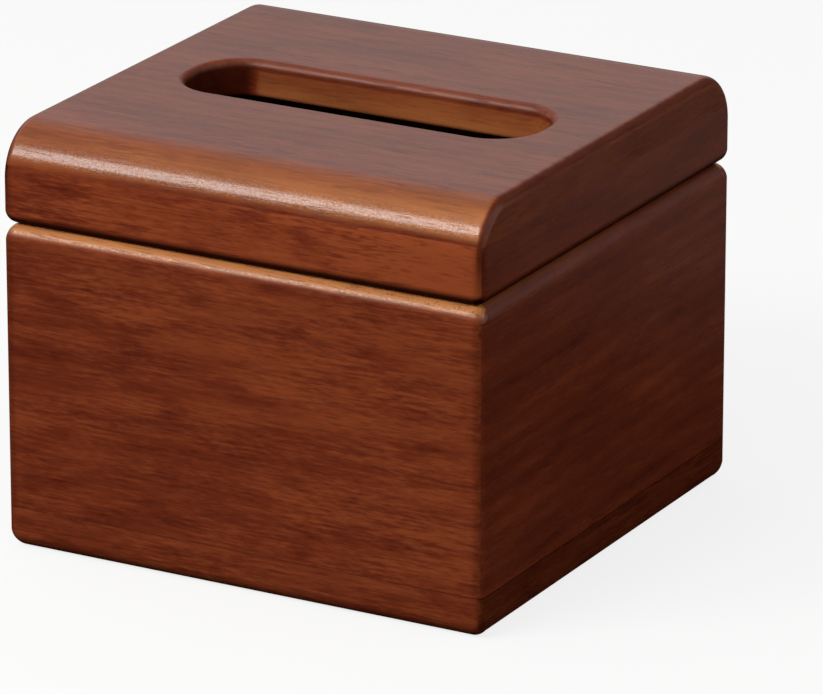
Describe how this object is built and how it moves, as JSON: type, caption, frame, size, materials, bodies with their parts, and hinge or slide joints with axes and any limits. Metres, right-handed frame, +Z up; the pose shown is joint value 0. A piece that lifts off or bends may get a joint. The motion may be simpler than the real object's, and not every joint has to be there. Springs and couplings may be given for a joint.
{
  "type": "tissue box cover",
  "caption": "Square lacquered wooden tissue box: mitred case on a bottom board, with a slotted lid hinged along the back edge.",
  "frame": {"origin": "centre of the flat underside, on the surface the box stands on", "axes": "+X to the right along the slot and the front face, +Y from the front to the hinged back, +Z up"},
  "size_m": [0.122, 0.12, 0.1],
  "materials": {
    "case_wood": "walnut-stained hardwood, satin-gloss lacquer",
    "lid_wood": "walnut-stained hardwood, satin-gloss lacquer",
    "hinge_brass": "brushed brass",
    "screw_brass": "bright brass"
  },
  "bodies": {
    "case": {"bottom_board": "case_wood", "front_wall": "case_wood", "back_wall": "case_wood", "left_wall": "case_wood", "right_wall": "case_wood", "left_hinge_case_leaf": "hinge_brass", "left_hinge_pin": "screw_brass", "left_hinge_case_screws": "screw_brass", "right_hinge_case_leaf": "hinge_brass", "right_hinge_pin": "screw_brass", "right_hinge_case_screws": "screw_brass"},
    "lid": {"lid_top_board": "lid_wood", "lid_front_rail": "lid_wood", "lid_back_rail": "lid_wood", "lid_left_rail": "lid_wood", "lid_right_rail": "lid_wood", "left_hinge_lid_leaf": "hinge_brass", "left_hinge_lid_screws": "screw_brass", "right_hinge_lid_leaf": "hinge_brass", "right_hinge_lid_screws": "screw_brass"}
  },
  "joints": [
    {"name": "lid_hinge", "type": "hinge", "parent": "case", "child": "lid", "pos_m": [0, 0.05838, 0.07725], "axis": [-1, 0, 0], "range_deg": [0, 106]}
  ]
}
